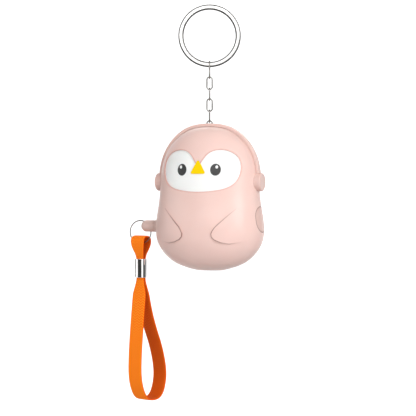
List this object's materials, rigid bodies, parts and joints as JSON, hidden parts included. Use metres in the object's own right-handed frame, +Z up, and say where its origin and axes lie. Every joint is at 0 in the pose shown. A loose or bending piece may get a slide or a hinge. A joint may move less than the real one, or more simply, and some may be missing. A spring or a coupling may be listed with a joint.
{
  "type": "personal safety alarm",
  "caption": "Egg-shaped pocket alarm with an animal face, pull pin on a wrist strap, side lamp button and a chain to a split key ring.",
  "frame": {"origin": "middle of the key ring that the alarm hangs from", "axes": "+Z up along the hanging chain, the face looks along -Y, the lamp button is on the +X side and the pull pin on the -X side"},
  "size_m": [0.0648, 0.0328, 0.1805],
  "materials": {
    "case_pink": "soft gloss",
    "trim_pink": "soft gloss",
    "knob_pink": "soft gloss",
    "panel_white": "gloss",
    "eye_black": "gloss",
    "beak_yellow": "gloss",
    "plated_steel": "polished",
    "screw_steel": "plated",
    "strap_webbing": "woven",
    "board_green": "satin",
    "part_black": "matt",
    "ferrite": "matt",
    "copper_wire": "enamelled",
    "spring_metal": "plated",
    "cell_steel": "satin",
    "gasket_rubber": "matt",
    "disc_brass": "satin",
    "ceramic": "satin",
    "lens_clear": "clear",
    "lamp_clear": "clear"
  },
  "bodies": {
    "key_ring": {"key_ring": "plated_steel"},
    "case": {"hanger_eye": "plated_steel", "front_shell": "case_pink", "rear_cover": "case_pink", "headband": "trim_pink", "ear_muff_left": "trim_pink", "ear_muff_right": "trim_pink", "face_panel": "panel_white", "eye_left": "eye_black", "eye_right": "eye_black", "eye_glints": "panel_white", "beak": "beak_yellow", "tact_switch": "part_black", "circuit_board": "board_green", "control_chip": "part_black", "coil_core": "ferrite", "coil_winding": "copper_wire", "pin_switch_base": "part_black", "pin_leaves": "spring_metal", "pin_socket": "knob_pink", "battery_cells": "cell_steel", "battery_contacts": "spring_metal", "battery_door": "case_pink", "door_screw": "screw_steel", "case_screws": "screw_steel", "board_screws": "screw_steel", "siren_gasket": "gasket_rubber", "siren_disc": "disc_brass", "siren_ceramic": "ceramic", "foot_lens": "lens_clear", "foot_lamp": "lamp_clear", "lamp_leads": "spring_metal"},
    "link_1": {"chain_link_1": "plated_steel"},
    "link_2": {"chain_link_2": "plated_steel"},
    "link_3": {"chain_link_3": "plated_steel"},
    "link_4": {"chain_link_4": "plated_steel"},
    "link_5": {"chain_link_5": "plated_steel"},
    "button": {"side_button": "trim_pink", "switch_plunger": "part_black"},
    "pin": {"pull_pin": "knob_pink"},
    "small_ring": {"strap_ring": "plated_steel"},
    "strap": {"wrist_strap": "strap_webbing", "strap_ferrule": "plated_steel"}
  },
  "joints": [
    {"name": "link_1_swing", "type": "hinge", "parent": "key_ring", "child": "link_1", "pos_m": [0, 0, -0.01285], "axis": [0.9397, 0.342, 0], "range_deg": [-45, 45]},
    {"name": "link_2_swing", "type": "hinge", "parent": "link_1", "child": "link_2", "pos_m": [0, 0, -0.0191], "axis": [-0.342, 0.9397, 0], "range_deg": [-45, 45]},
    {"name": "link_3_swing", "type": "hinge", "parent": "link_2", "child": "link_3", "pos_m": [0, 0, -0.024], "axis": [-0.9397, -0.342, 0], "range_deg": [-45, 45]},
    {"name": "link_4_swing", "type": "hinge", "parent": "link_3", "child": "link_4", "pos_m": [0, 0, -0.0289], "axis": [0.342, -0.9397, 0], "range_deg": [-45, 45]},
    {"name": "link_5_swing", "type": "hinge", "parent": "link_4", "child": "link_5", "pos_m": [0, 0, -0.0338], "axis": [0.9397, 0.342, 0], "range_deg": [-45, 45]},
    {"name": "case_swing", "type": "hinge", "parent": "link_5", "child": "case", "pos_m": [0, 0, -0.0387], "axis": [-0.342, 0.9397, 0], "range_deg": [-30, 30]},
    {"name": "button_press", "type": "slide", "parent": "case", "child": "button", "axis": [-1, 0, 0], "range_m": [0, 0.0006], "stiffness_N_per_m": 900, "springref_m": -0.0006},
    {"name": "pin_pull", "type": "slide", "parent": "case", "child": "pin", "axis": [-1, 0, 0], "range_m": [0, 0.014]},
    {"name": "small_ring_swing", "type": "hinge", "parent": "pin", "child": "small_ring", "pos_m": [-0.0321, 0, -0.0834], "axis": [0, 1, 0], "range_deg": [-4, 30]},
    {"name": "strap_swing", "type": "hinge", "parent": "small_ring", "child": "strap", "pos_m": [-0.0338, 0, -0.0925], "axis": [0.9703, -0.2419, 0], "range_deg": [-50, 50]}
  ]
}
